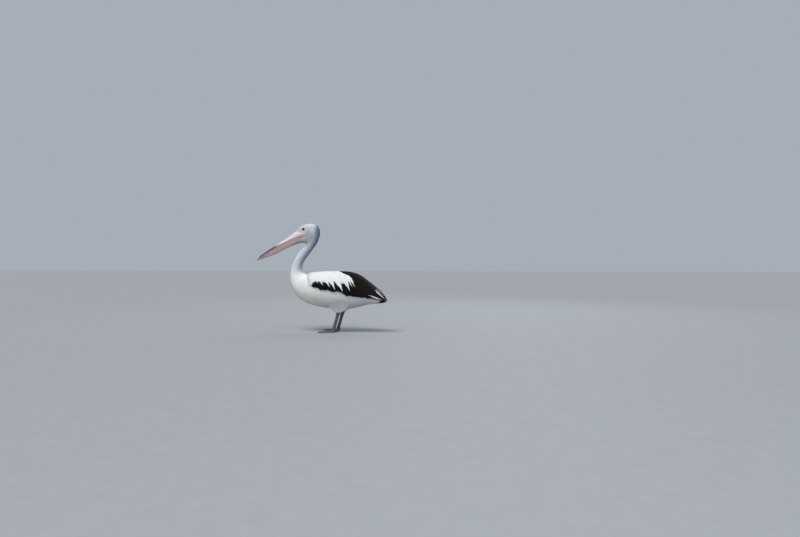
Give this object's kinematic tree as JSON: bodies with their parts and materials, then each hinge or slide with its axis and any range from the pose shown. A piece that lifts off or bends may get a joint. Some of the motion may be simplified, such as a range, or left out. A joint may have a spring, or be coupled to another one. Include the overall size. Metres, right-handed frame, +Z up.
{
  "type": "pelican",
  "caption": "Life-size still model of a standing pelican with folded wings, a long pouched bill held low and webbed feet flat on the floor.",
  "frame": {"origin": "on the floor, under the middle of the whole length from the tip of the bill to the tip of the tail", "axes": "+Z up, the bird faces -Y, its tail points to +Y and its left side is +X"},
  "size_m": [0.2514, 1.0494, 0.8194],
  "materials": {
    "white_plumage": "soft matte white feathers with grey shading on the nape and cheek",
    "black_feathers": "brownish black flight and tail feathers with a slight sheen",
    "bill_horn": "pale pink horn, satin, darker towards the tip",
    "bill_nail_horn": "yellow green horn, satin",
    "pouch_skin": "bare pink and tan skin with fine folds, satin",
    "eye_gloss": "dark, wet and glossy",
    "leg_skin": "slate blue-grey scaled skin, matte",
    "claw_horn": "dark grey horn, satin"
  },
  "bodies": {
    "root": {"head": "white_plumage", "neck_upper": "white_plumage", "neck_middle": "white_plumage", "neck_lower": "white_plumage", "torso": "white_plumage", "thigh_left": "white_plumage", "thigh_right": "white_plumage", "wing_left": "black_feathers", "wing_right": "black_feathers", "tail": "black_feathers", "bill_upper": "bill_horn", "bill_nail": "bill_nail_horn", "bill_lower": "bill_horn", "pouch": "pouch_skin", "eye_left": "eye_gloss", "eye_right": "eye_gloss", "shank_left": "leg_skin", "shank_right": "leg_skin", "foot_left": "leg_skin", "foot_right": "leg_skin", "claw_left_1": "claw_horn", "claw_left_2": "claw_horn", "claw_left_3": "claw_horn", "claw_left_4": "claw_horn", "claw_right_1": "claw_horn", "claw_right_2": "claw_horn", "claw_right_3": "claw_horn", "claw_right_4": "claw_horn"}
  },
  "joints": []
}
